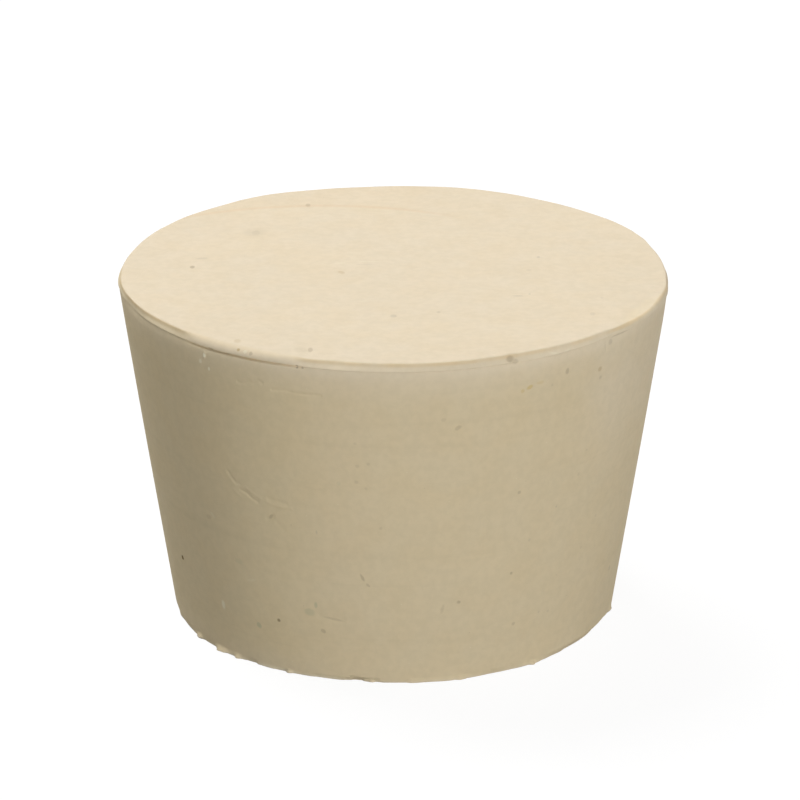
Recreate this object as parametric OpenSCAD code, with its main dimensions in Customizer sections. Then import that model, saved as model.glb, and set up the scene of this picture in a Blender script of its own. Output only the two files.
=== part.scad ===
// Solid rubber stopper, the size sold as number 8.
// One moulding: a plug that tapers from a trimmed rim at its large end down to its small end.
// Millimetres, +Z up. The origin is the centre of the small end, which it stands on.

/* [Body] */
// Diameter of the large end, across the rim
large_d = 41; // [38:0.5:60]
// Diameter of the small end, to the sharp corner that its rounded edge starts from
small_d = 33.3; // [20:0.1:37]
// Height from the small end to the large end
height = 26; // [12:0.5:50]
// Radius that rounds the edge of the small end
small_edge_r = 0.25; // [0.1:0.05:1]

/* [Rim] */
// Height of the upright land that is left where the moulding flash was trimmed off
land_h = 0.6; // [0.3:0.05:2]
// How far the tapered wall's own line stays inside the land at the large end
land_proud = 0.05; // [0.02:0.01:0.5]
// Radius that rounds the edge between the land and the large end
rim_edge_r = 0.45; // [0.1:0.05:1]

/* [Trimming slit] */
// Direction in which the trimming blade dug in under the land, in degrees from +X
slit_angle = -122; // [-180:1:180]
// Depth of the slit at its middle, from the wall's surface
slit_depth = 0.5; // [0.1:0.05:1.5]
// Height of the slit's mouth
slit_h = 0.16; // [0.06:0.02:0.5]

/* [Rim notch] */
// Direction of the notch pinched out of the rim's edge, in degrees from +X
notch_angle = -65; // [-180:1:180]
// Width of the notch along the edge
notch_w = 0.9; // [0.4:0.1:3]
// Depth of the notch, from the rounded edge
notch_depth = 0.2; // [0.05:0.05:0.8]

/* [Small end nicks] */
// Directions of the nicks that trimming left in the small end's edge, in degrees from +X
nick_angles = [-145, -127, -99, -36]; // [-180:1:180]
// Width of each of those nicks along the edge
nick_widths = [1.6, 1.4, 2.4, 3.0]; // [0.6:0.1:5]
// Depth of the nicks, from the rounded edge
nick_depth = 0.15; // [0.05:0.05:0.6]

/* [Hidden] */
$fn = 128;

rubber_colour = [0.92, 0.86, 0.75];

large_r = large_d / 2;
small_r = small_d / 2;
land_z = height - land_h;

// The tapered wall runs from the small end's corner to a point just inside the rim's corner
taper_run = large_r - land_proud - small_r;
taper_angle = atan(taper_run / height);
land_foot_r = small_r + taper_run * land_z / height;

// Inside angles of the section at its two outer corners
rim_corner = 90;
small_corner = 90 + taper_angle;

// A rounding takes at most this share of the face that it runs into
rounding_share = 0.8;
rim_round = min(rim_edge_r, land_h * rounding_share);
small_round = min(small_edge_r, land_z * rounding_share);

// A cutter stands this far out past the surface that it cuts
overrun = 1;

// Point at a distance and an angle from another, in the plane of the section
function step_from(point, distance, angle) = point + distance * [cos(angle), sin(angle)];

// Distance from a rounded corner's sharp point to its arc, along the line that halves the corner
function rounded_away(radius, corner) = radius / sin(corner / 2) - radius;

// Radius of the ball that leaves a hollow of this width and depth
function hollow_ball_r(width, depth) = (width * width / 4 + depth * depth) / (2 * depth);

// The sliver between a sharp corner and the arc that rounds it. The corner's two sides leave its
// point at first_side and at first_side + corner.
module corner_waste(point, first_side, corner, radius) {
    tangent_length = radius / tan(corner / 2);
    arc_centre = step_from(point, radius / sin(corner / 2), first_side + corner / 2);
    difference() {
        polygon([
            point,
            step_from(point, tangent_length, first_side),
            arc_centre,
            step_from(point, tangent_length, first_side + corner)
        ]);
        translate(arc_centre) circle(r = radius);
    }
}

// Right half of the section, from the axis out: small end, tapered wall, step, land, large end
module half_section() {
    difference() {
        polygon([
            [0, 0],
            [small_r, 0],
            [land_foot_r, land_z],
            [large_r, land_z],
            [large_r, height],
            [0, height]
        ]);
        corner_waste([small_r, 0], 180 - small_corner, small_corner, small_round);
        corner_waste([large_r, height], 180, rim_corner, rim_round);
    }
}

// Wedge blade pushed straight in under the land, so the slit runs out to nothing at both ends
module slit_blade() {
    reach = slit_depth + overrun;
    mouth_h = slit_h * reach / slit_depth;
    rotate([0, 0, slit_angle])
        translate([land_foot_r - slit_depth, 0, land_z])
            rotate([90, 0, 0])
                linear_extrude(height = large_d, center = true)
                    polygon([[0, 0], [reach, 0], [reach, -mouth_h]]);
}

// Ball that takes a shallow hollow out of a round edge. The outward direction is measured from
// level, and buried is the depth of the edge's arc below its sharp corner.
module edge_hollow(angle, edge_r, edge_z, outward, buried, width, depth) {
    ball_r = hollow_ball_r(width, depth);
    centre = step_from([edge_r, edge_z], ball_r - depth - buried, outward);
    rotate([0, 0, angle])
        translate([centre.x, 0, centre.y])
            sphere(r = ball_r);
}

module rim_notch() {
    edge_hollow(notch_angle, large_r, height, rim_corner / 2,
        rounded_away(rim_round, rim_corner), notch_w, notch_depth);
}

module small_end_nicks() {
    for (i = [0 : len(nick_angles) - 1])
        edge_hollow(nick_angles[i], small_r, 0, -small_corner / 2,
            rounded_away(small_round, small_corner), nick_widths[i], nick_depth);
}

module stopper() {
    color(rubber_colour)
        difference() {
            rotate_extrude() half_section();
            slit_blade();
            rim_notch();
            small_end_nicks();
        }
}

stopper();
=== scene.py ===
import math

import bmesh
import bpy
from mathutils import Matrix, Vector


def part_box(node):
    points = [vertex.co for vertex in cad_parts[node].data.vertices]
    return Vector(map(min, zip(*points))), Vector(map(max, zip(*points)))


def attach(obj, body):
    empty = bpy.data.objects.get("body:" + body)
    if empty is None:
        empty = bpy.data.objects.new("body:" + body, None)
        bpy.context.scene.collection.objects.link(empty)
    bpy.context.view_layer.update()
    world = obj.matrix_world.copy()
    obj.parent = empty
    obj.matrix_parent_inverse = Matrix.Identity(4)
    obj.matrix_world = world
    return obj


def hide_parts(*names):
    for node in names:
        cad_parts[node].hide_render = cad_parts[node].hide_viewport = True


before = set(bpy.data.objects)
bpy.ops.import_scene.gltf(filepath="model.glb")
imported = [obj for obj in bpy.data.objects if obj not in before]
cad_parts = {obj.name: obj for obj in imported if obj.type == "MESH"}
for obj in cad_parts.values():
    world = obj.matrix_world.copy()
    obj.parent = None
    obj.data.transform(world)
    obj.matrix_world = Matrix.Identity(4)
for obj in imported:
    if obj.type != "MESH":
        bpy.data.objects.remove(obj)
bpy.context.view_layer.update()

# Plug. One solid moulding of cream rubber that is filled with chalk, pressed in a mould that
# parts just under the large end. It tapers evenly from there down to the small end.
mm = 0.001
low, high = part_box("stopper")
height = high.z - low.z
large_r = (high.x - low.x) / 2
small_r = 16.65 * mm
small_edge_r = 0.04 * mm
parting_z = height - 0.6 * mm
columns = 480

# Less than any real size, for comparing places
hair = 0.0005 * mm

# Where the wall's even rows end and the closer rows of the two edges begin
small_band_z = 0.9 * mm
large_band_z = height - 1.6 * mm
small_band_rows = 10
wall_rows = 36
large_band_rows = 12


def wall_r(z):
    """Radius of the tapered wall at a height."""
    return small_r + (large_r - small_r) * z / height


def middle(part):
    """Middle of a vertex, an edge or a face."""
    if isinstance(part, bmesh.types.BMVert):
        return part.co
    return sum((corner.co for corner in part.verts), part.verts[0].co * 0) / len(part.verts)


def select(kind, wanted):
    """In edit mode, selects only the vertices, edges or faces whose middle is wanted."""
    bpy.ops.mesh.select_mode(type=kind)
    bpy.ops.mesh.select_all(action="DESELECT")
    cage = bmesh.from_edit_mesh(bpy.context.object.data)
    for part in {"VERT": cage.verts, "EDGE": cage.edges, "FACE": cage.faces}[kind]:
        part.select_set(wanted(middle(part)))
    cage.select_flush_mode()
    bmesh.update_edit_mesh(bpy.context.object.data)


def add_rows(bottom, top, rows):
    """Divides the one band of faces between two heights into rows."""
    select("EDGE", lambda at: bottom + hair < at.z < top - hair)
    bpy.ops.mesh.subdivide_edgering(number_cuts=rows - 1, interpolation="LINEAR", smoothness=0)


bpy.ops.object.select_all(action="DESELECT")
bpy.ops.mesh.primitive_cone_add(
    vertices=columns, radius1=small_r, radius2=wall_r(parting_z), depth=parting_z,
    location=(0, 0, parting_z / 2), end_fill_type="NGON")
stopper = bpy.context.object
stopper.name = stopper.data.name = "rubber_stopper"
bpy.ops.object.transform_apply(location=True)
bpy.ops.object.mode_set(mode="EDIT")

# The rim above the parting line: the thin lip that the mould's joint leaves, then the land that
# leans in to the large end's edge. Each step is how far in from the large radius, and how high.
lip_r = large_r - 0.04 * mm
face_edge_r = large_r - 0.45 * mm
rim_steps = (
    (large_r - lip_r, parting_z + 0.05 * mm),
    (0.06 * mm, parting_z + 0.11 * mm),
    (0.15 * mm, parting_z + 0.19 * mm),
    (0.24 * mm, parting_z + 0.28 * mm),
    (0.32 * mm, parting_z + 0.38 * mm),
    (large_r - face_edge_r, height))
land_edge_r = 0.15 * mm
edge_segments = 4

select("FACE", lambda at: at.z > parting_z - hair and math.hypot(at.x, at.y) < hair)
radius, z = wall_r(parting_z), parting_z
for step_in, step_z in rim_steps:
    wider = (large_r - step_in) / radius
    bpy.ops.mesh.extrude_region_move(TRANSFORM_OT_translate={"value": (0, 0, step_z - z)})
    bpy.ops.transform.resize(value=(wider, wider, 1), center_override=(0, 0, step_z))
    radius, z = large_r - step_in, step_z
select("EDGE", lambda at: at.z > height - hair)
bpy.ops.mesh.bevel(offset=land_edge_r, segments=edge_segments, affect="EDGES")
select("EDGE", lambda at: at.z < hair)
bpy.ops.mesh.bevel(offset=small_edge_r, segments=edge_segments, affect="EDGES")

# Rows on the wall, closest at both edges
for z in (small_band_z, large_band_z):
    bpy.ops.mesh.select_all(action="SELECT")
    bpy.ops.mesh.bisect(plane_co=(0, 0, z), plane_no=(0, 0, 1))
add_rows(small_edge_r, small_band_z, small_band_rows)
add_rows(small_band_z, large_band_z, wall_rows)
add_rows(large_band_z, parting_z, large_band_rows)

# Both ends: rings just inside the edge. The rest of the large end is an even grid.
end_rings = (0.1 * mm, 0.1 * mm, 0.15 * mm, 0.2 * mm, 0.25 * mm)
for is_end in (lambda at: at.z > height - hair, lambda at: at.z < hair):
    select("FACE", is_end)
    for ring in end_rings:
        bpy.ops.mesh.inset(thickness=ring)
inner_r = face_edge_r - land_edge_r - sum(end_rings)
select("FACE", lambda at: at.z > height - hair and math.hypot(at.x, at.y) < hair)
bpy.ops.mesh.delete(type="ONLY_FACE")
select("EDGE", lambda at: at.z > height - hair and math.hypot(at.x, at.y) < inner_r + 0.05 * mm)
bpy.ops.mesh.fill_grid(span=columns // 4)
bpy.ops.object.mode_set(mode="OBJECT")


# Trimming marks. The flash at the parting line and round both edges was cut off by hand with a
# knife, which wandered, dug in under the rim on one side, and left stubs and nicks.
def soft(away, reach):
    """1 where away is nothing, falling smoothly to 0 at the reach."""
    share = max(0.0, 1.0 - abs(away) / reach)
    return share * share * (3 - 2 * share)


def between(value, start, end):
    """0 at start and before, rising smoothly to 1 at end and beyond."""
    share = min(1.0, max(0.0, (value - start) / (end - start)))
    return share * share * (3 - 2 * share)


def turn(angle, other):
    """How far one direction is from another, in degrees from -180 to 180."""
    return (angle - other + 180) % 360 - 180


def follow(line, angle):
    """Value at an angle of a closed line of (angle, value) points, in smooth steps."""
    for (start, first), (end, second) in zip(line, line[1:] + line[:1]):
        span = (end - start) % 360
        along = (angle - start) % 360
        if along <= span:
            return first + (second - first) * between(along, 0, span)
    return line[0][1]


def shape(name, kind, share_at, **settings):
    """Moves the vertices by one modifier, each as strongly as share_at(angle, radius, z) says."""
    group = stopper.vertex_groups.new(name=name)
    for vertex in stopper.data.vertices:
        x, y, z = vertex.co
        share = share_at(math.degrees(math.atan2(y, x)), math.hypot(x, y), z)
        if share > 0:
            group.add([vertex.index], min(share, 1.0), "REPLACE")
    bpy.ops.object.modifier_add(type=kind)
    modifier = stopper.modifiers[-1]
    modifier.vertex_group = name
    for setting, value in settings.items():
        setattr(modifier, setting, value)
    bpy.ops.object.modifier_apply(modifier=modifier.name)


far_r = large_r + 1 * mm
near_r = small_r / 2


def spread(name, change_at):
    """Moves the vertices out by change_at(angle, radius, z), or in where that is negative."""
    for side, goal in (("out", far_r), ("in", near_r)):
        shape(name + " " + side, "CAST",
              lambda angle, radius, z: change_at(angle, radius, z) / (goal - radius),
              cast_type="CYLINDER", factor=1, size=goal, use_radius_as_size=False, use_z=False)


def lift(name, change_at):
    """Lifts the vertices by change_at(angle, radius, z), or lowers them where that is negative."""
    for side, step in (("up", mm), ("down", -mm)):
        shape(name + " " + side, "DISPLACE",
              lambda angle, radius, z: change_at(angle, radius, z) / step,
              direction="Z", mid_level=0, strength=step)


# Radius of the lip that the parting line leaves round the rim, and of the large end's edge where
# the knife left it. The wall swells a little in the middle and curls in below the lip.
lip_line = (
    (-176, 20.46 * mm), (-168, 20.36 * mm), (-160, 20.20 * mm), (-151, 20.23 * mm),
    (-145, 20.21 * mm), (-140, 20.16 * mm), (-126, 20.13 * mm), (-115, 20.18 * mm),
    (-107, 20.30 * mm), (-98, 20.38 * mm), (-88, 20.42 * mm), (-78, 20.36 * mm),
    (-70, 20.26 * mm), (-62, 20.28 * mm), (-56, 20.36 * mm), (-48, 20.38 * mm),
    (-42, 20.34 * mm), (-38, 20.28 * mm), (-32, 20.42 * mm), (-24, 20.48 * mm),
    (-16, 20.42 * mm), (-8, 20.34 * mm), (15, 20.32 * mm), (50, 20.38 * mm),
    (75, 20.54 * mm), (90, 20.42 * mm), (105, 20.40 * mm), (120, 20.62 * mm),
    (138, 20.44 * mm), (168, 20.42 * mm))
edge_line = (
    (-178, 20.22 * mm), (-174, 20.27 * mm), (-170, 20.28 * mm), (-166, 20.24 * mm),
    (-160, 20.16 * mm), (-154, 20.12 * mm), (-150, 20.03 * mm), (-144, 19.95 * mm),
    (-139, 19.95 * mm), (-134, 19.88 * mm), (-130, 19.85 * mm), (-110.5, 19.86 * mm),
    (-107, 20.02 * mm), (-101, 19.92 * mm), (-94, 20.04 * mm), (-82, 20.10 * mm),
    (-75, 20.09 * mm), (-70, 19.97 * mm), (-61, 19.98 * mm), (-52, 20.07 * mm),
    (-42, 20.08 * mm), (-38, 20.24 * mm), (-30, 20.34 * mm), (-24, 20.37 * mm),
    (-19, 20.33 * mm), (-14, 20.28 * mm), (-10, 20.27 * mm), (-6, 20.22 * mm),
    (-2, 20.18 * mm), (2, 20.13 * mm), (6, 20.12 * mm), (15, 20.14 * mm), (23, 20.36 * mm),
    (31, 20.50 * mm), (43, 20.36 * mm), (56, 20.40 * mm), (66, 20.55 * mm),
    (75, 20.66 * mm), (86, 20.46 * mm), (98, 20.32 * mm), (107, 20.43 * mm),
    (120, 20.78 * mm), (134, 20.48 * mm), (141, 20.50 * mm), (150, 20.36 * mm),
    (168, 20.18 * mm))
lip_z = parting_z + 0.05 * mm
land_reach = 1.1 * mm
curl_z = 3.0 * mm
last_curl_z = 0.7 * mm
last_curl_share = 0.3
swell = 0.03 * mm
swell_z = 0.55 * height
hollow = 0.06 * mm


def ramp(z, start, end):
    """0 at start and before, rising ever faster to 1 at end and beyond."""
    return min(1.0, max(0.0, (z - start) / (end - start))) ** 2


def rim_change(angle, radius, z):
    edge = follow(edge_line, angle) - face_edge_r
    if z > height - hair:
        return edge * between(radius, face_edge_r - land_reach, face_edge_r - land_edge_r)
    lip = follow(lip_line, angle) - lip_r
    if z > lip_z - hair:
        share = max(0.0, (radius - face_edge_r) / (lip_r - face_edge_r))
        lip -= hollow * share * (1 - share)
        return edge * (1 - share) + lip * share
    curled = ramp(z, parting_z - curl_z, parting_z) * (1 - last_curl_share)
    last_curl = ramp(z, parting_z - last_curl_z, parting_z) * last_curl_share
    return lip * (curled + last_curl) + swell * soft(z - swell_z, swell_z)


spread("rim line", rim_change)

# Where the knife rolled over the edge, the rim is round instead of cut: a quarter of an oval that
# starts nearly flat on the large end and stops at the lip. Each stretch has the turns between
# which it starts and ends, the oval's centre and half sizes, and how far round it the lip and the
# large end's edge lie, in degrees from its top.
round_stretches = (
    ((-139, -134), (-113, -106), 19.30 * mm, 25.42 * mm, 0.83 * mm, 0.58 * mm, 90, 33),
    ((-42, -34), (-12, -4), 20.18 * mm, 25.45 * mm, 0.30 * mm, 0.55 * mm, 90, 12))


def rounded(angle, stretch):
    """1 along a rounded stretch of the rim, falling to 0 over the turns where it starts and ends."""
    return between(angle, *stretch[0]) * (1 - between(angle, *stretch[1]))


def round_angle(z, stretch):
    lip_turn, edge_turn = stretch[6:]
    return math.radians(lip_turn + (edge_turn - lip_turn) * (z - lip_z) / (height - lip_z))


def round_out(angle, radius, z):
    if not lip_z - hair < z < height - hair:
        return 0
    return sum(rounded(angle, stretch) * (
        stretch[2] + stretch[4] * math.sin(round_angle(z, stretch)) - radius)
        for stretch in round_stretches)


def round_down(angle, radius, z):
    change = 0
    for stretch in round_stretches:
        centre_r, centre_z, half_width, half_height = stretch[2:6]
        if z > height - hair:
            along = min(1.0, max(0.0, (radius - centre_r) / half_width))
            drop = half_height * ((1 - along ** 2) ** 0.5 - 1)
        else:
            drop = centre_z + half_height * math.cos(round_angle(z, stretch)) - z
        change += rounded(angle, stretch) * drop
    return change * (z > lip_z - hair and radius > face_edge_r - land_reach)


spread("rolled edge", round_out)
lift("rolled edge drop", round_down)

# The parting line isn't quite level, and the large end droops at the rim on the right
parting_line = (
    (-175, 0.02 * mm), (-160, 0.0), (-147, 0.0), (-130, -0.06 * mm), (-119, -0.03 * mm),
    (-96, -0.03 * mm), (-60, -0.03 * mm), (-48, 0.03 * mm), (-39, 0.08 * mm),
    (-26, 0.02 * mm), (0, -0.02 * mm), (40, 0.03 * mm), (80, -0.03 * mm),
    (120, 0.02 * mm), (150, -0.02 * mm))
parting_reach = 0.6 * mm
droop_angle = -25
droop_half_turn = 14
droop = 0.18 * mm


def parting_rise(angle, radius, z):
    if radius < face_edge_r - land_reach:
        return 0
    rise = follow(parting_line, angle) * soft(z - parting_z, parting_reach) * (z < height - hair)
    low_side = soft(turn(angle, droop_angle), droop_half_turn)
    return rise - droop * low_side * between(z, parting_z, height) * between(
        radius, face_edge_r - land_reach, face_edge_r)


lift("parting line", parting_rise)

# Slit that the knife dug in under the rim, deepest at its middle
slit_angle = -122
slit_half_turn = 14.5
slit_depth = 0.34 * mm
slit_mouth = 0.12 * mm
slit_roof = 0.02 * mm


def slit_change(angle, radius, z):
    middle_z = parting_z + follow(parting_line, angle)
    along = max(0.0, 1 - (turn(angle, slit_angle) / slit_half_turn) ** 2) ** 0.5
    return -slit_depth * along * max(0.0, 1 - abs(z - middle_z) / slit_mouth) * (
        z < middle_z + slit_roof)


spread("slit", slit_change)

# Small end: how far its edge stands out or in, where the knife left stubs of flash and cut flats
foot_line = (
    (-176, 0.0), (-171, -0.08 * mm), (-167, -0.05 * mm), (-164, 0.03 * mm), (-160, -0.04 * mm),
    (-155, -0.02 * mm), (-150.9, 0.02 * mm), (-149.8, 0.17 * mm), (-148.8, 0.22 * mm),
    (-146.6, 0.0), (-141.8, 0.0), (-140.9, 0.10 * mm), (-139.6, 0.36 * mm), (-138.0, 0.28 * mm),
    (-136.2, 0.10 * mm), (-134.2, 0.08 * mm), (-132.8, 0.28 * mm), (-131, 0.05 * mm),
    (-129.5, -0.05 * mm), (-127, -0.09 * mm), (-126, 0.04 * mm), (-122, 0.06 * mm),
    (-120, 0.0), (-118, -0.03 * mm), (-117, 0.18 * mm), (-115, 0.0), (-111, 0.0),
    (-109, -0.07 * mm), (-103, -0.05 * mm), (-101, -0.16 * mm), (-99.3, -0.30 * mm),
    (-97.8, -0.27 * mm), (-96.8, -0.10 * mm), (-95, 0.02 * mm), (-94, -0.09 * mm), (-92, 0.0),
    (-87, 0.0), (-85, 0.12 * mm), (-81, 0.07 * mm), (-76, 0.14 * mm), (-74.2, 0.12 * mm),
    (-73, 0.23 * mm), (-72, 0.18 * mm), (-70.8, 0.06 * mm), (-68, 0.02 * mm), (-65, -0.05 * mm),
    (-59, -0.01 * mm), (-56, 0.05 * mm), (-53.6, 0.07 * mm), (-52.4, 0.28 * mm),
    (-51.3, 0.12 * mm), (-48.5, 0.0), (-45, -0.08 * mm), (-42, -0.09 * mm), (-40, -0.18 * mm),
    (-30, -0.14 * mm), (-25, -0.22 * mm), (-18, -0.18 * mm), (-14, -0.06 * mm),
    (-12.2, 0.10 * mm), (-11, 0.15 * mm), (-9.8, 0.06 * mm), (-8, 0.0), (9, 0.0),
    (12, 0.14 * mm), (14, 0.0), (41, 0.0), (47, -0.20 * mm), (52, 0.0), (69.5, 0.0),
    (71, 0.22 * mm), (72.5, 0.0), (97, 0.0), (104, -0.14 * mm), (111, 0.0), (129.5, 0.0),
    (131, 0.20 * mm), (132.3, 0.02 * mm), (153, 0.0), (158, -0.16 * mm), (163, 0.0))
foot_z = 0.42 * mm
foot_reach = 0.8 * mm

# The foot is also a little fuller all along the front
fuller_angle, fuller_turn, fuller_end = -97, 50, 72
fuller = 0.09 * mm
fuller_z = 2.5 * mm


def foot_change(angle, radius, z):
    if z > fuller_z or radius < small_r - foot_reach:
        return 0
    fringe = follow(foot_line, angle) * (1 - between(z, 0, foot_z))
    front = 1 - between(abs(turn(angle, fuller_angle)), fuller_turn, fuller_end)
    return (fringe + fuller * front * (1 - between(z, 0, fuller_z))) * between(
        radius, small_r - foot_reach, small_r - small_edge_r)


# Folds that the mould left in the wall, and lines scored in the wall and the rim. Each has its
# half width, its depth (below 0 for a raised sliver) and its points, as angle and height.
folds = (
    (0.14 * mm, 0.03 * mm, ((-128.4, 15.8 * mm), (-127.8, 15.5 * mm))),
    (0.12 * mm, 0.035 * mm, ((-127.2, 15.3 * mm), (-126.6, 15.05 * mm), (-125.6, 15.05 * mm))),
    (0.10 * mm, 0.04 * mm, ((-125.4, 14.55 * mm), (-123.6, 14.4 * mm), (-122.5, 14.1 * mm),
                            (-121.0, 13.9 * mm))),
    (0.12 * mm, -0.02 * mm, ((-127.4, 14.4 * mm), (-125.4, 14.0 * mm))),
    (0.09 * mm, -0.02 * mm, ((-123.8, 14.85 * mm), (-121.8, 14.5 * mm), (-120.1, 14.25 * mm))),
    (0.09 * mm, -0.03 * mm, ((-118.6, 14.05 * mm), (-116.8, 13.9 * mm), (-114.6, 13.85 * mm),
                             (-112.6, 13.9 * mm))),
    (0.12 * mm, 0.03 * mm, ((-118.2, 14.4 * mm), (-116.6, 14.3 * mm), (-113.8, 14.2 * mm))),
    (0.10 * mm, 0.045 * mm, ((-122.9, 23.4 * mm), (-121.9, 23.35 * mm), (-120.2, 23.6 * mm),
                             (-119.2, 23.55 * mm), (-118.0, 23.85 * mm), (-117.1, 23.7 * mm))),
    (0.09 * mm, 0.045 * mm, ((-114.9, 23.3 * mm), (-112.3, 23.4 * mm), (-109.4, 23.3 * mm),
                             (-104.4, 23.3 * mm))))
scores = folds + (
    (0.20 * mm, 0.04 * mm, ((-136.4, 11.6 * mm), (-135.2, 11.4 * mm))),
    (0.15 * mm, 0.05 * mm, ((-118.8, 12.75 * mm), (-117.4, 13.0 * mm))),
    (0.15 * mm, 0.03 * mm, ((-116.4, 12.5 * mm), (-114.8, 12.0 * mm))),
    (0.12 * mm, 0.05 * mm, ((-41.5, 25.1 * mm), (-41.0, 24.6 * mm))),
    (0.10 * mm, -0.035 * mm, ((-57.6, 25.60 * mm), (-55.4, 25.52 * mm), (-53.6, 25.56 * mm),
                              (-51.2, 25.58 * mm))),
    (0.09 * mm, -0.055 * mm, ((-131.2, 24.95 * mm), (-131.5, 24.6 * mm))),
    (0.07 * mm, -0.04 * mm, ((-132.6, 24.25 * mm), (-132.9, 24.05 * mm))),
    (0.20 * mm, 0.04 * mm, ((-107.3, 5.25 * mm), (-101.9, 5.1 * mm))),
    (0.09 * mm, 0.04 * mm, ((-100.4, 0.38 * mm), (-97.5, 0.26 * mm), (-94.6, 0.22 * mm))),
    (0.10 * mm, 0.03 * mm, ((-36.5, 17.6 * mm), (-33, 19.2 * mm))),
    (0.12 * mm, 0.04 * mm, ((38, 14.2 * mm), (44, 12.9 * mm), (47, 12.7 * mm))),
    (0.14 * mm, 0.05 * mm, ((101, 8.0 * mm), (106, 8.6 * mm))),
    (0.10 * mm, 0.03 * mm, ((152, 20.5 * mm), (157, 18.9 * mm))))
score_reach = 0.45 * mm
fold_reach = 0.35 * mm
surface_depth = 1.0 * mm


def off_line(points, angle, z, radius):
    """Distance along the surface from an angle and height to a line of such points."""
    around = radius * math.pi / 180
    nearest = large_r
    for (first, first_z), (last, last_z) in zip(points, points[1:]):
        run, rise = turn(last, first) * around, last_z - first_z
        x, y = turn(angle, first) * around, z - first_z
        along = min(1.0, max(0.0, (x * run + y * rise) / (run * run + rise * rise)))
        nearest = min(nearest, math.hypot(x - along * run, y - along * rise))
    return nearest


def near_line(at, lines, reach):
    radius = math.hypot(at.x, at.y)
    angle = math.degrees(math.atan2(at.y, at.x))
    return radius > wall_r(at.z) - surface_depth and any(
        off_line(points, angle, at.z, radius) < reach for _, _, points in lines)


def score_depth(angle, radius, z):
    if radius < wall_r(z) - surface_depth:
        return 0
    return sum(-depth * soft(off_line(points, angle, z, radius), 2 * half_width)
               for half_width, depth, points in scores)


def press(name, change_at):
    """Moves the vertices along the surface's normal, in where the change is negative."""
    for side, step in (("out", mm), ("in", -mm)):
        shape(name + " " + side, "DISPLACE",
              lambda angle, radius, z: change_at(angle, radius, z) / step,
              direction="NORMAL", mid_level=0, strength=step)


# Nick pinched out of the rim's edge, an upright hollow that runs out below the lip
pinch_angle = -65.3
pinch_half_turn = 1.6
pinch_depth = 0.12 * mm
pinch_foot_z, pinch_full_z = parting_z - 0.35 * mm, parting_z + 0.1 * mm
pinch_inner_r, pinch_full_r = face_edge_r - 0.5 * mm, face_edge_r - 0.1 * mm
pinch_detail_r = face_edge_r - 0.6 * mm
pinch_detail_turn = 1.5 * pinch_half_turn


def pinch_change(angle, radius, z):
    if radius < pinch_inner_r:
        return 0
    share = soft(turn(angle, pinch_angle), pinch_half_turn)
    return -pinch_depth * share * between(z, pinch_foot_z, pinch_full_z) * between(
        radius, pinch_inner_r, pinch_full_r)


def wants_detail(at):
    angle = math.degrees(math.atan2(at.y, at.x))
    at_pinch = abs(turn(angle, pinch_angle)) < pinch_detail_turn and (
        at.z > pinch_foot_z and math.hypot(at.x, at.y) > pinch_detail_r)
    return at_pinch or near_line(at, scores, score_reach)


def at_foot(at):
    return at.z < foot_z and math.hypot(at.x, at.y) > small_r - foot_reach / 2


bpy.ops.object.mode_set(mode="EDIT")
for wanted, cuts in (
        (wants_detail, 3), (at_foot, 1), (lambda at: near_line(at, folds, fold_reach), 1)):
    select("FACE", wanted)
    bpy.ops.mesh.subdivide(number_cuts=cuts)
bpy.ops.object.mode_set(mode="OBJECT")
press("scores", score_depth)
spread("pinch", pinch_change)
spread("foot", foot_change)

smooth_below = math.radians(35)
bpy.ops.object.shade_smooth_by_angle(angle=smooth_below)

# Rubber. Natural rubber filled with chalk, with a dull skin off the mould and a paler bloom on the
# large end and just under it, which is partly a chalky bloom and partly painted light. Soot, rust, chalk
# and mould specks are rubbed into it; a few dark and pale marks are painted shade and painted highlight.
wall_colour = (0.82, 0.688, 0.457, 1)
end_colour = (0.868, 0.744, 0.557, 1)
# Colour of the chalky bloom, also used as painted light on the upper wall
bloom_and_painted_light_colour = (0.89, 0.762, 0.556, 1)
skin_shine = 0.25
rubber = bpy.data.materials.new("cream_rubber")
rubber.use_nodes = True
nodes, links = rubber.node_tree.nodes, rubber.node_tree.links
skin = nodes["Principled BSDF"]
skin.inputs["Specular IOR Level"].default_value = skin_shine


def add(kind, *inputs, **settings):
    """Adds a node, links or sets its inputs in order, and returns its first output."""
    node = nodes.new("ShaderNode" + kind)
    for setting, value in settings.items():
        setattr(node, setting, value)
    for socket, value in zip([s for s in node.inputs if s.enabled], inputs):
        if isinstance(value, bpy.types.NodeSocket):
            links.new(value, socket)
        elif value is not None:
            socket.default_value = value
    return next(output for output in node.outputs if output.enabled)


def fade(value, start, end, most=1.0):
    """0 where the value is at start or before, rising smoothly to most at end and beyond."""
    return add("MapRange", value, start, end, 0.0, most, interpolation_type="SMOOTHSTEP")


def blend(share, base, over, kind="MIX"):
    """Lays one colour over another by a share from 0 to 1."""
    return add("MixRGB", share, base, over, blend_type=kind)


def maths(kind, first, second=None):
    """Adds up, multiplies or otherwise joins two values."""
    return add("Math", first, second, operation=kind)


def noise(where, size, detail, roughness=0.5):
    """Even noise whose features are about this size, from 0 to 1."""
    return add("TexNoise", where, 1 / size, detail, roughness)


place = nodes.new("ShaderNodeTexCoord").outputs["Object"]
place_parts = nodes.new("ShaderNodeSeparateXYZ")
links.new(place, place_parts.inputs[0])
across, back, up = (place_parts.outputs[axis] for axis in "XYZ")
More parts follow.
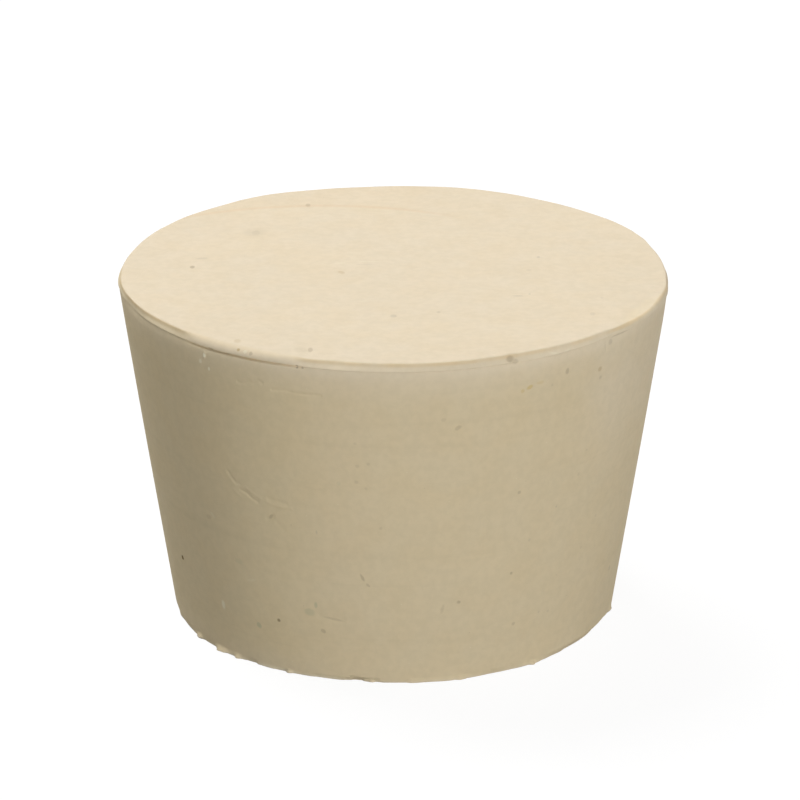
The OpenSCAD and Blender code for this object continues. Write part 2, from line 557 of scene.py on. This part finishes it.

# Skin colour: the wall, the bloom that fades away down the wall, and the large end. The bloom is partly
# a chalky bloom and partly painted light that lightens the upper wall under the lip. It is thin on the
# left and, as painted light, reaches far down on the right.
bloom_and_painted_light = maths("ADD", fade(up, height - 3.6 * mm, height - 0.9 * mm, 0.55),
              fade(up, height - 1.6 * mm, height - 0.7 * mm, 0.45))
thinner = add("MapRange", across, -13 * mm, -4 * mm, 0.25, 1.0, interpolation_type="SMOOTHSTEP")
# Painted light: the bloom reaches far down the right of the wall to lighten it
lower = maths("MULTIPLY", fade(across, 12.5 * mm, 16 * mm), fade(up, 11 * mm, 22 * mm, 0.6))
bloom_and_painted_light = maths("MAXIMUM", maths("MULTIPLY", bloom_and_painted_light, thinner), lower)
colour = blend(bloom_and_painted_light, wall_colour, bloom_and_painted_light_colour)
colour = blend(fade(up, height - 0.12 * mm, height - 0.02 * mm), colour, end_colour)
colour = blend(fade(up, 0.25 * mm, 0.02 * mm, 0.5), colour, end_colour)

# Where the knife rolled over the rim at the front left, the land is as pale as the large end
rolled = maths("MULTIPLY", fade(across, -15.2 * mm, -13.8 * mm), fade(across, -5.6 * mm, -7.4 * mm))
rolled = maths("MULTIPLY", rolled, fade(back, -8 * mm, -12 * mm))
rolled_land = maths("MULTIPLY", rolled, fade(up, height - 0.62 * mm, height - 0.5 * mm, 0.6))
colour = blend(rolled_land, colour, end_colour)

# Uneven colour: broad cool clouds and smaller warm ones, fine mottling, and patches on the large
# end. The left of the wall, which lies in shade, gets a painted shade tint that makes it a little
# warmer, and faint rings run round it.
cool_size, cool_tint = 7 * mm, (0.985, 0.99, 1.0, 1)
warm_size, warm_shift, warm_tint = 2.6 * mm, (0.05, 0.02, 0.04), (1.0, 0.99, 0.972, 1)
mottle_size, mottle_tint = 0.6 * mm, (0.958, 0.958, 0.95, 1)
patchy_size, patchy_tint = 1.5 * mm, (0.985, 0.98, 0.965, 1)
shaded_left_tint = (1.0, 0.997, 0.967, 1)
ring_squeeze, ring_tint = (30, 30, 1500), (0.975, 0.975, 0.97, 1)
cool = fade(noise(place, cool_size, 2), 0.3, 0.7)
colour = blend(cool, colour, cool_tint, "MULTIPLY")
shifted = add("VectorMath", place, warm_shift, operation="ADD")
warm = fade(noise(shifted, warm_size, 3), 0.35, 0.7)
colour = blend(warm, colour, warm_tint, "MULTIPLY")
mottle = fade(noise(place, mottle_size, 3, 0.6), 0.3, 0.7)
colour = blend(mottle, colour, mottle_tint, "MULTIPLY")
patchy = maths("MULTIPLY", fade(noise(place, patchy_size, 2), 0.35, 0.65),
               fade(up, height - 0.6 * mm, height - 0.05 * mm))
colour = blend(patchy, colour, patchy_tint, "MULTIPLY")
side_only = maths("MULTIPLY", fade(up, 0.3 * mm, 2 * mm), fade(up, height - 0.5 * mm, height - 3 * mm))
# Painted shade tint: the shaded left of the wall is made a little warmer
shaded_left = maths("MULTIPLY", fade(across, -3 * mm, -9 * mm), side_only)
colour = blend(shaded_left, colour, shaded_left_tint, "MULTIPLY")
squeezed = add("VectorMath", place, ring_squeeze, operation="MULTIPLY")
rings = fade(add("TexNoise", squeezed, 1.0, 3.0, 0.6), 0.5, 0.75)
colour = blend(maths("MULTIPLY", rings, side_only), colour, ring_tint, "MULTIPLY")

# Brown line where the knife's cut meets the large end, missing where the end droops at the right
# and faint where the rim is rolled over
cut_size, cut_tint = 2.2 * mm, (1.0, 0.935, 0.81, 1)
rolled_paler = 0.7
cut = maths("MULTIPLY", fade(up, height - 0.36 * mm, height - 0.18 * mm),
            fade(up, height - 0.02 * mm, height - 0.08 * mm))
cut = maths("MULTIPLY", cut, fade(noise(place, cut_size, 2), 0.1, 0.75))
flat = add("VectorMath", place, (1, 1, 0), operation="MULTIPLY")
from_axis = add("VectorMath", flat, operation="LENGTH")
drooping = maths("MULTIPLY", fade(across, 13 * mm, 16 * mm), fade(from_axis, 20.3 * mm, 20.1 * mm))
cut = maths("MULTIPLY", cut, maths("SUBTRACT", 1.0, drooping))
cut = maths("MULTIPLY", cut, maths("SUBTRACT", 1.0, maths("MULTIPLY", rolled, rolled_paler)))
colour = blend(cut, colour, cut_tint, "MULTIPLY")

# A thin brown line on the large end at the back left, and beyond it the rubber is a little warmer
# and darker
arc_centre, arc_r = (-5.5 * mm, -5.8 * mm, height), 21.4 * mm
arc_tint, beyond_tint = (0.99, 0.955, 0.92, 1), (0.993, 0.985, 0.975, 1)
from_centre = add("VectorMath", place, arc_centre, operation="DISTANCE")
on_end = maths("MULTIPLY", fade(across, 6 * mm, 1 * mm), fade(up, height - 0.1 * mm, height - 0.02 * mm))
beyond = fade(from_centre, arc_r - 0.8 * mm, arc_r - 0.35 * mm)
arc = maths("MULTIPLY", beyond, fade(from_centre, arc_r + 0.15 * mm, arc_r - 0.3 * mm))
colour = blend(maths("MULTIPLY", arc, on_end), colour, arc_tint, "MULTIPLY")
colour = blend(maths("MULTIPLY", beyond, on_end), colour, beyond_tint, "MULTIPLY")

# Dirt, and a few marks that are painted shade or painted highlight, noted where they stand. Each mark is
# an oval patch: its strength, its half width and half height on the surface, its tilt in degrees, and
# where it lies. On the wall that is angle and height, and on the large end it is across and back. The
# few on the rim are round, and lie at an angle, radius and height.
soot_and_shade, rust, ochre, grey, chalk_and_highlight, moss = "soot_and_shade", "rust", "ochre", "grey", "chalk_and_highlight", "moss"
tone_colours = {
    soot_and_shade: (0.21, 0.13, 0.04, 1), rust: (0.45, 0.28, 0.04, 1), ochre: (0.66, 0.46, 0.08, 1),
    grey: (0.36, 0.31, 0.22, 1), chalk_and_highlight: (1.0, 0.93, 0.72, 1), moss: (0.39, 0.42, 0.25, 1)}
wall_marks = (
    (soot_and_shade, 1.00, 0.19 * mm, 0.19 * mm, 0, -152.6, 6.20 * mm),
    (soot_and_shade, 0.64, 0.16 * mm, 0.15 * mm, 0, -118.5, 4.27 * mm),
    (soot_and_shade, 0.25, 0.28 * mm, 0.12 * mm, 50, -117.9, 12.90 * mm),
    (soot_and_shade, 0.28, 0.11 * mm, 0.34 * mm, 24, -96.8, 8.78 * mm),
    (soot_and_shade, 0.20, 0.10 * mm, 0.20 * mm, 40, -95.5, 8.15 * mm),
    (soot_and_shade, 0.17, 0.80 * mm, 0.11 * mm, -8, -104.0, 5.1 * mm),
    (soot_and_shade, 0.24, 0.24 * mm, 0.16 * mm, -35, -106.8, 4.0 * mm),
    (soot_and_shade, 0.12, 0.13 * mm, 0.40 * mm, -12, -78.1, 6.05 * mm),
    (soot_and_shade, 0.28, 0.14 * mm, 0.14 * mm, 0, -74.2, 6.5 * mm),
    (soot_and_shade, 0.22, 0.15 * mm, 0.14 * mm, 0, -61.2, 14.87 * mm),
    (soot_and_shade, 0.19, 0.15 * mm, 0.16 * mm, 0, -59.3, 3.88 * mm),
    (soot_and_shade, 0.27, 0.12 * mm, 0.13 * mm, 0, -61.3, 8.25 * mm),
    (soot_and_shade, 0.25, 0.18 * mm, 0.26 * mm, 0, -52.0, 23.9 * mm),
    (soot_and_shade, 0.15, 0.17 * mm, 0.15 * mm, 0, -41.9, 22.48 * mm),
    (soot_and_shade, 0.10, 0.12 * mm, 0.10 * mm, 0, -55.6, 23.1 * mm),
    (ochre, 0.42, 0.28 * mm, 0.18 * mm, 20, -61.0, 23.3 * mm),
    (ochre, 0.30, 0.18 * mm, 0.15 * mm, 0, -62.6, 23.1 * mm),
    (ochre, 0.20, 0.34 * mm, 0.12 * mm, 0, -58.6, 23.5 * mm),
    (soot_and_shade, 0.18, 0.28 * mm, 0.18 * mm, 30, -76.3, 20.83 * mm),
    (soot_and_shade, 0.11, 0.20 * mm, 0.16 * mm, 0, -79.4, 21.55 * mm),
    (rust, 0.30, 0.23 * mm, 0.20 * mm, 0, -42.4, 23.2 * mm),
    # Painted shade: dark marks in the slit under the rim, at its middle and its right end
    (soot_and_shade, 0.40, 0.28 * mm, 0.09 * mm, 0, -129.8, 25.34 * mm),
    (soot_and_shade, 0.55, 0.14 * mm, 0.12 * mm, 0, -109.2, 25.36 * mm),
    (soot_and_shade, 0.40, 0.11 * mm, 0.10 * mm, 0, -108.0, 25.35 * mm),
    # Painted shade: dark marks in the nick pinched out of the rim
    (soot_and_shade, 0.33, 0.34 * mm, 0.24 * mm, 0, -65.5, 25.68 * mm),
    (soot_and_shade, 0.22, 0.22 * mm, 0.24 * mm, 0, -64.6, 25.50 * mm),
    (soot_and_shade, 0.16, 0.26 * mm, 0.24 * mm, 0, -39.8, 25.05 * mm),
    (soot_and_shade, 0.09, 0.12 * mm, 0.34 * mm, 8, -41.3, 24.75 * mm),
    # Painted shadow: a long dark line under the lip on the right, where the lip's step is in shade
    (soot_and_shade, 0.20, 1.10 * mm, 0.07 * mm, 0, -36.6, 25.36 * mm),
    (grey, 0.20, 0.08 * mm, 0.18 * mm, 0, -107.0, 12.2 * mm),
    (grey, 0.22, 0.08 * mm, 0.10 * mm, 0, -50.5, 12.9 * mm),
    (grey, 0.16, 0.12 * mm, 0.09 * mm, 0, -51.9, 4.3 * mm),
    (grey, 0.14, 0.14 * mm, 0.10 * mm, 0, -48.9, 4.1 * mm),
    (moss, 0.24, 0.42 * mm, 0.33 * mm, 0, -110.0, 5.45 * mm),
    (moss, 0.34, 0.15 * mm, 0.27 * mm, 0, -108.3, 6.12 * mm),
    (moss, 0.40, 0.22 * mm, 0.28 * mm, 25, -124.6, 3.4 * mm),
    (moss, 0.12, 0.40 * mm, 0.24 * mm, 0, -128.5, 8.4 * mm),
    (soot_and_shade, 0.11, 0.17 * mm, 0.14 * mm, 0, -97.3, 17.9 * mm),
    (soot_and_shade, 0.12, 0.14 * mm, 0.12 * mm, 0, -94.9, 18.1 * mm),
    (soot_and_shade, 0.12, 0.17 * mm, 0.14 * mm, 0, -97.6, 16.6 * mm),
    (soot_and_shade, 0.10, 0.13 * mm, 0.12 * mm, 0, -95.5, 16.1 * mm),
    (soot_and_shade, 0.09, 0.13 * mm, 0.12 * mm, 0, -97.6, 19.7 * mm),
    (soot_and_shade, 0.10, 0.15 * mm, 0.12 * mm, 0, -92.4, 12.9 * mm),
    (grey, 0.14, 0.13 * mm, 0.13 * mm, 0, -57.2, 10.7 * mm),
    (soot_and_shade, 0.10, 0.13 * mm, 0.13 * mm, 0, -35.7, 10.7 * mm),
    (soot_and_shade, 0.08, 0.14 * mm, 0.13 * mm, 0, -44.7, 15.0 * mm),
    (soot_and_shade, 0.10, 0.13 * mm, 0.12 * mm, 0, -43.1, 16.8 * mm),
    (soot_and_shade, 0.09, 0.12 * mm, 0.13 * mm, 0, -23.0, 11.2 * mm),
    (soot_and_shade, 0.08, 0.13 * mm, 0.12 * mm, 0, -39.9, 8.5 * mm),
    (moss, 0.10, 0.18 * mm, 0.15 * mm, 0, -101.4, 16.4 * mm),
    (chalk_and_highlight, 0.60, 0.19 * mm, 0.40 * mm, 0, -136.1, 4.1 * mm),
    (chalk_and_highlight, 0.26, 0.30 * mm, 0.14 * mm, -40, -135.3, 11.6 * mm),
    (soot_and_shade, 0.11, 0.28 * mm, 0.20 * mm, 0, -136.8, 11.3 * mm),
    (chalk_and_highlight, 0.14, 0.50 * mm, 0.12 * mm, 18, -125.5, 7.1 * mm),
    (chalk_and_highlight, 1.00, 0.12 * mm, 0.17 * mm, 8, -131.4, 24.78 * mm),
    (chalk_and_highlight, 0.50, 0.16 * mm, 0.18 * mm, 14, -132.6, 24.2 * mm),
    (chalk_and_highlight, 0.75, 0.11 * mm, 0.16 * mm, 0, -130.3, 23.8 * mm),
    (chalk_and_highlight, 0.28, 0.40 * mm, 0.08 * mm, -14, -55.6, 25.55 * mm),
    (chalk_and_highlight, 0.25, 0.30 * mm, 0.07 * mm, 10, -52.6, 25.55 * mm),
    # Painted highlight: pale lines along the bottom edge where its flash catches the light
    (chalk_and_highlight, 0.25, 2.20 * mm, 0.10 * mm, 0, -121, 0.16 * mm),
    (chalk_and_highlight, 0.22, 1.60 * mm, 0.09 * mm, 0, -107, 0.14 * mm),
    (soot_and_shade, 0.60, 0.09 * mm, 0.10 * mm, 0, 14.0, 9.2 * mm),
    (soot_and_shade, 0.24, 0.24 * mm, 0.10 * mm, 25, 33.0, 18.4 * mm),
    (chalk_and_highlight, 0.40, 0.24 * mm, 0.14 * mm, -20, 58.0, 12.6 * mm),
    (moss, 0.25, 0.28 * mm, 0.22 * mm, 0, 71.0, 5.1 * mm),
    (soot_and_shade, 0.50, 0.12 * mm, 0.12 * mm, 0, 88.0, 20.3 * mm),
    (rust, 0.25, 0.18 * mm, 0.15 * mm, 0, 97.0, 15.6 * mm),
    (soot_and_shade, 0.20, 0.11 * mm, 0.32 * mm, 20, 118.0, 10.7 * mm),
    (grey, 0.22, 0.34 * mm, 0.20 * mm, 0, 132.0, 7.2 * mm),
    (soot_and_shade, 0.42, 0.12 * mm, 0.11 * mm, 0, 149.0, 17.9 * mm),
    (chalk_and_highlight, 0.36, 0.14 * mm, 0.22 * mm, 15, 163.0, 21.4 * mm),
    (soot_and_shade, 0.18, 0.28 * mm, 0.10 * mm, -15, 176.0, 13.0 * mm),
    (soot_and_shade, 0.26, 0.12 * mm, 0.11 * mm, 0, -8.0, 11.6 * mm),
    (grey, 0.22, 0.14 * mm, 0.22 * mm, 0, -22.0, 4.8 * mm))
end_marks = (
    (soot_and_shade, 0.36, 0.19 * mm, 0.36 * mm, 0, -15.0 * mm, 0.5 * mm),
    (grey, 0.16, 0.50 * mm, 0.24 * mm, 12, -14.4 * mm, 2.5 * mm),
    (grey, 0.20, 0.40 * mm, 0.70 * mm, 0, -10.6 * mm, 8.6 * mm),
    (grey, 0.10, 0.90 * mm, 1.00 * mm, 0, -10.7 * mm, 8.7 * mm),
    (soot_and_shade, 0.24, 0.21 * mm, 0.42 * mm, 0, -6.8 * mm, 15.4 * mm),
    (rust, 0.21, 0.24 * mm, 0.40 * mm, 30, -3.9 * mm, -0.6 * mm),
    (grey, 0.22, 0.26 * mm, 0.34 * mm, 0, 0.05 * mm, -10.25 * mm),
    (soot_and_shade, 0.16, 0.16 * mm, 0.23 * mm, 0, 3.3 * mm, -9.4 * mm),
    (grey, 0.20, 0.14 * mm, 0.24 * mm, 0, 10.8 * mm, 3.0 * mm),
    (grey, 0.10, 0.22 * mm, 0.26 * mm, 0, 10.0 * mm, 0.0 * mm),
    (grey, 0.22, 0.40 * mm, 0.16 * mm, 0, 9.1 * mm, -5.8 * mm),
    (grey, 0.20, 0.09 * mm, 0.18 * mm, 0, 9.95 * mm, -5.4 * mm),
    (grey, 0.12, 0.14 * mm, 0.20 * mm, 0, 15.2 * mm, -6.2 * mm),
    (grey, 0.15, 0.22 * mm, 0.34 * mm, 0, 14.4 * mm, -9.7 * mm),
    (soot_and_shade, 0.26, 0.19 * mm, 0.48 * mm, 0, -5.75 * mm, -17.4 * mm),
    (soot_and_shade, 0.07, 0.55 * mm, 0.56 * mm, 0, -6.4 * mm, -17.4 * mm),
    (rust, 0.20, 0.27 * mm, 0.40 * mm, 0, -10.95 * mm, -15.6 * mm),
    (chalk_and_highlight, 0.22, 1.10 * mm, 0.10 * mm, -6, -2.0 * mm, 1.9 * mm),
    (chalk_and_highlight, 0.20, 0.50 * mm, 0.12 * mm, 10, -4.0 * mm, 1.5 * mm),
    (grey, 0.10, 0.70 * mm, 0.16 * mm, 5, -2.2 * mm, 1.2 * mm))
rim_marks = (
    (chalk_and_highlight, 0.45, 0.17 * mm, -121.2, 20.00 * mm, 25.76 * mm),
    (rust, 0.50, 0.14 * mm, -122.9, 19.98 * mm, 25.78 * mm),
    (soot_and_shade, 0.25, 0.15 * mm, -119.8, 20.02 * mm, 25.70 * mm))
patch_core, patch_edge = 0.55, 1.25
dirt_reach = 0.4 * mm
round_enough = 0.035 * mm

# The patches are read at places pushed about a little, which makes their edges ragged
ragged_size, ragged_by = 0.25 * mm, 0.10 * mm
pushes = nodes.new("ShaderNodeTexNoise")
pushes.inputs["Scale"].default_value = 1 / ragged_size
links.new(place, pushes.inputs["Vector"])
pushed = add("VectorMath", pushes.outputs["Color"], (0.5, 0.5, 0.5), operation="SUBTRACT")
pushed = add("VectorMath", pushed, (ragged_by, ragged_by, ragged_by), operation="MULTIPLY")
ragged = add("VectorMath", place, pushed, operation="ADD")
masks = {}


def add_patch(tone, strength, centre, turns, half_sizes, half_across, half_along):
    """Adds one patch to its tone's mask: an oval, or a plain spot where it is about round."""
    if abs(half_across - half_along) < round_enough:
        half = (half_across + half_along) / 2
        away = add("VectorMath", ragged, centre, operation="DISTANCE")
        patch = fade(away, patch_edge * half, patch_core * half, strength)
    else:
        local = add("Mapping", ragged, centre, turns, half_sizes, vector_type="TEXTURE")
        away = add("VectorMath", local, operation="LENGTH")
        patch = fade(away, patch_edge, patch_core, strength)
    masks[tone] = maths("MAXIMUM", masks[tone], patch) if tone in masks else patch


for tone, strength, half_width, half_height, tilt, angle, z in wall_marks:
    facing = math.radians(angle)
    share = max(0.0, (z - lip_z) / (height - lip_z))
    radius = min(wall_r(z), lip_r) + (face_edge_r - lip_r) * share
    radius += rim_change(angle, radius, z)
    add_patch(tone, strength, (radius * math.cos(facing), radius * math.sin(facing), z),
              (math.radians(tilt), 0, facing), (dirt_reach, half_width, half_height),
              half_width, half_height)
for tone, strength, half_across, half_back, spin, x, y in end_marks:
    add_patch(tone, strength, (x, y, height), (0, 0, math.radians(spin)),
              (half_across, half_back, dirt_reach), half_across, half_back)
for tone, strength, half, angle, radius, z in rim_marks:
    facing = math.radians(angle)
    add_patch(tone, strength, (radius * math.cos(facing), radius * math.sin(facing), z),
              (0, 0, 0), (half, half, half), half, half)
for tone, mask in masks.items():
    colour = blend(mask, colour, tone_colours[tone])

# Specks of filler and dust, a few of them darker
speck_gap = 0.8 * mm
speck_r = 0.055 * mm
cells = nodes.new("ShaderNodeTexVoronoi")
cells.inputs["Scale"].default_value = 1 / speck_gap
links.new(place, cells.inputs["Vector"])
cell = nodes.new("ShaderNodeSeparateColor")
links.new(cells.outputs["Color"], cell.inputs[0])
spot = fade(cells.outputs["Distance"], speck_r / speck_gap, 0.4 * speck_r / speck_gap)
for tone, pick, most in ((soot_and_shade, "Red", 0.22), (chalk_and_highlight, "Green", 0.4)):
    chosen = fade(cell.outputs[pick], 0.80, 0.95, most)
    colour = blend(maths("MULTIPLY", spot, chosen), colour, tone_colours[tone])
links.new(colour, skin.inputs["Base Color"])

# Dull skin, a little smoother in places, with a fine grain and a faint unevenness
sheen_size, smooth_rough = 1.4 * mm, (0.72, 0.86)
dullness = add("MapRange", noise(place, sheen_size, 3), 0.3, 0.7, *smooth_rough)
links.new(dullness, skin.inputs["Roughness"])
grain_size, grain_height = 0.11 * mm, 0.004 * mm
dimple_size, dimple_height = 1.3 * mm, 0.012 * mm
relief = maths("ADD", maths("MULTIPLY", noise(place, grain_size, 3), grain_height),
               maths("MULTIPLY", noise(place, dimple_size, 3), dimple_height))
bump = nodes.new("ShaderNodeBump")
bump.inputs["Distance"].default_value = 1.0
links.new(relief, bump.inputs["Height"])
links.new(bump.outputs["Normal"], skin.inputs["Normal"])
stopper.data.materials.clear()
stopper.data.materials.append(rubber)

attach(stopper, "root")
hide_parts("stopper")


# Studio. A wide floor of white paper, in a room that gives no light. A bank of light hangs high at
# the back left, with weaker softboxes in front, at the right side and low down on both sides.
def end_tree(tree, kind, bounced, shown):
    """Ends a tree with one shader for light that bounces, and another for camera, mirror and
    see-through rays."""
    path = tree.nodes.new("ShaderNodeLightPath")
    seen = path.outputs["Is Camera Ray"]
    for name in ("Is Glossy Ray", "Is Transmission Ray"):
        either = tree.nodes.new("ShaderNodeMath")
        either.operation = "MAXIMUM"
        tree.links.new(seen, either.inputs[0])
        tree.links.new(path.outputs[name], either.inputs[1])
        seen = either.outputs[0]
    choice = tree.nodes.new("ShaderNodeMixShader")
    for source, socket in zip((seen, bounced, shown), choice.inputs):
        tree.links.new(source, socket)
    output = tree.nodes.new("ShaderNodeOutput" + kind)
    tree.links.new(choice.outputs[0], output.inputs["Surface"])


# The paper bounces light as a grey one would, but is seen as white with a glow of its own
floor_half = 3.0
floor_bounce = (0.147, 0.1435, 0.1365, 1)
floor_glow = 0.93
floor_white = (0.12, 0.12, 0.12, 1)
bpy.ops.mesh.primitive_plane_add(size=2 * floor_half, location=(0, 0, 0))
floor = bpy.context.object
floor.name = "floor"
paper = bpy.data.materials.new("white_paper")
paper.use_nodes = True
tree = paper.node_tree
tree.nodes.clear()
bounced = tree.nodes.new("ShaderNodeBsdfDiffuse")
bounced.inputs["Color"].default_value = floor_bounce
white = tree.nodes.new("ShaderNodeBsdfDiffuse")
white.inputs["Color"].default_value = floor_white
glow = tree.nodes.new("ShaderNodeEmission")
glow.inputs["Strength"].default_value = floor_glow
shown = tree.nodes.new("ShaderNodeAddShader")
tree.links.new(white.outputs[0], shown.inputs[0])
tree.links.new(glow.outputs[0], shown.inputs[1])
end_tree(tree, "Material", bounced.outputs[0], shown.outputs[0])
floor.data.materials.append(paper)

# The room gives no light, but is seen as pale
room_light = 0.0
world = bpy.data.worlds.new("studio")
bpy.context.scene.world = world
world.use_nodes = True
tree = world.node_tree
tree.nodes.clear()
dark = tree.nodes.new("ShaderNodeBackground")
dark.inputs["Strength"].default_value = room_light
pale = tree.nodes.new("ShaderNodeBackground")
end_tree(tree, "World", dark.outputs[0], pale.outputs[0])

# Each softbox: its bearing and elevation seen from the stopper in degrees, how far off it hangs,
# its width and its power in watts
softboxes = (
    ("back_left_bank", 130, 55, 1.2, 0.8, 14.6),
    ("front_box", -70, 25, 1.2, 0.6, 1.3),
    ("right_side_box", 20, 25, 1.2, 0.6, 2.8),
    ("low_left_box", -110, 10, 1.2, 0.35, 3.75),
    ("low_right_box", -50, 10, 1.2, 0.35, 5.0))
for name, bearing, elevation, distance, width, power in softboxes:
    lamp = bpy.data.lights.new(name, "AREA")
    lamp.size = width
    lamp.energy = power
    box = bpy.data.objects.new(name, lamp)
    bpy.context.scene.collection.objects.link(box)
    level = distance * math.cos(math.radians(elevation))
    box.location = (
        level * math.cos(math.radians(bearing)),
        level * math.sin(math.radians(bearing)),
        distance * math.sin(math.radians(elevation)))
    box.rotation_euler = (-box.location).to_track_quat("-Z", "Y").to_euler()

# Camera on a stand in front, looking a little down at the bench. Its tilt down and its turn to the
# left are in degrees.
camera_place = (2.48 * mm, -295.35 * mm, 127.35 * mm)
camera_down, camera_left = 20.714, 0.394
camera_lens, camera_near = 189.15, 0.01
camera_data = bpy.data.cameras.new("camera")
camera_data.lens = camera_lens
camera_data.clip_start = camera_near
camera = bpy.data.objects.new("camera", camera_data)
camera.location = camera_place
camera.rotation_euler = (math.radians(90 - camera_down), 0, math.radians(camera_left))
bpy.context.scene.collection.objects.link(camera)
bpy.context.scene.camera = camera
bpy.context.scene.view_settings.view_transform = "Standard"
